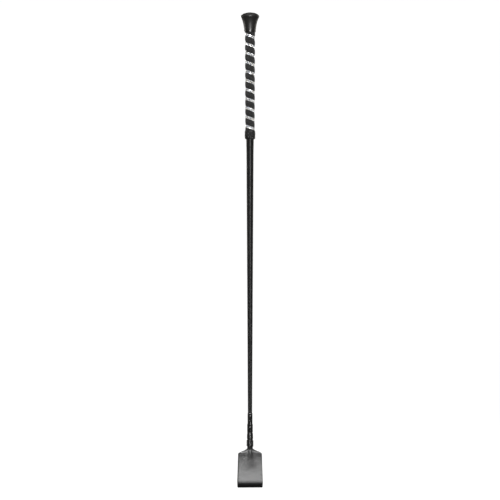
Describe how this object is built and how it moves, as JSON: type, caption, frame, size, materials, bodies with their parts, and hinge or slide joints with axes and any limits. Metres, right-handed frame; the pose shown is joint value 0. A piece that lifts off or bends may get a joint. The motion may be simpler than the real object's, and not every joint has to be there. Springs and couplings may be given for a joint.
{
  "type": "riding crop",
  "caption": "Short riding crop with a tapered braided shaft, a padded spiral grip with a crystal band, a flared cap, a leather knot and a folded leather tongue.",
  "frame": {"origin": "centre of the hand grip, on the rod's axis", "axes": "+Z along the rod to the cap, -Z to the tongue; the tongue's flat faces look along -Y and +Y, and its width is along X"},
  "size_m": [0.0342, 0.0254, 0.65],
  "materials": {
    "fibreglass": "pultruded rod",
    "steel": "crimped ferrule",
    "foam": "closed-cell sleeve",
    "yarn": "cotton filler yarn",
    "braid": "waxed herringbone braid",
    "cloth_tape": "adhesive cloth tape",
    "grip_cloth": "padded woven grip strip",
    "band": "backing tape of the crystal band",
    "setting": "stamped cup settings",
    "crystal": "foiled faceted stones",
    "cap": "fine-grained moulded cap",
    "plug": "turned plug",
    "leather": "fine pebble grain with a soft sheen",
    "knot_leather": "plaited lace",
    "sleeve": "shrunk sleeve",
    "lace": "waxed lace",
    "thread": "waxed whipping thread"
  },
  "bodies": {
    "crop": {"core_rod": "fibreglass", "tip_ferrule": "steel", "handle_sleeve": "foam", "shaft_padding": "yarn", "shaft_braid": "braid", "wrap_start_tape": "cloth_tape", "wrap_end_tape": "cloth_tape", "grip_wrap": "grip_cloth", "crystal_tape": "band", "crystal_settings": "setting", "crystals": "crystal", "cap_plug": "plug", "cap_shell": "cap", "cap_crown": "cap", "collar_knot": "knot_leather", "tip_sleeve": "sleeve", "neck_sleeve": "sleeve", "tongue_tab_front": "leather", "tongue_tab_back": "leather", "binding_lace": "lace", "whipping_thread": "thread"},
    "tongue": {"tongue_loop": "leather"}
  },
  "joints": [
    {"name": "tongue_flex", "type": "hinge", "parent": "crop", "child": "tongue", "pos_m": [0, 0, -0.5034], "axis": [1, 0, 0], "range_deg": [-60, 60], "stiffness_Nm_per_rad": 0.04}
  ]
}
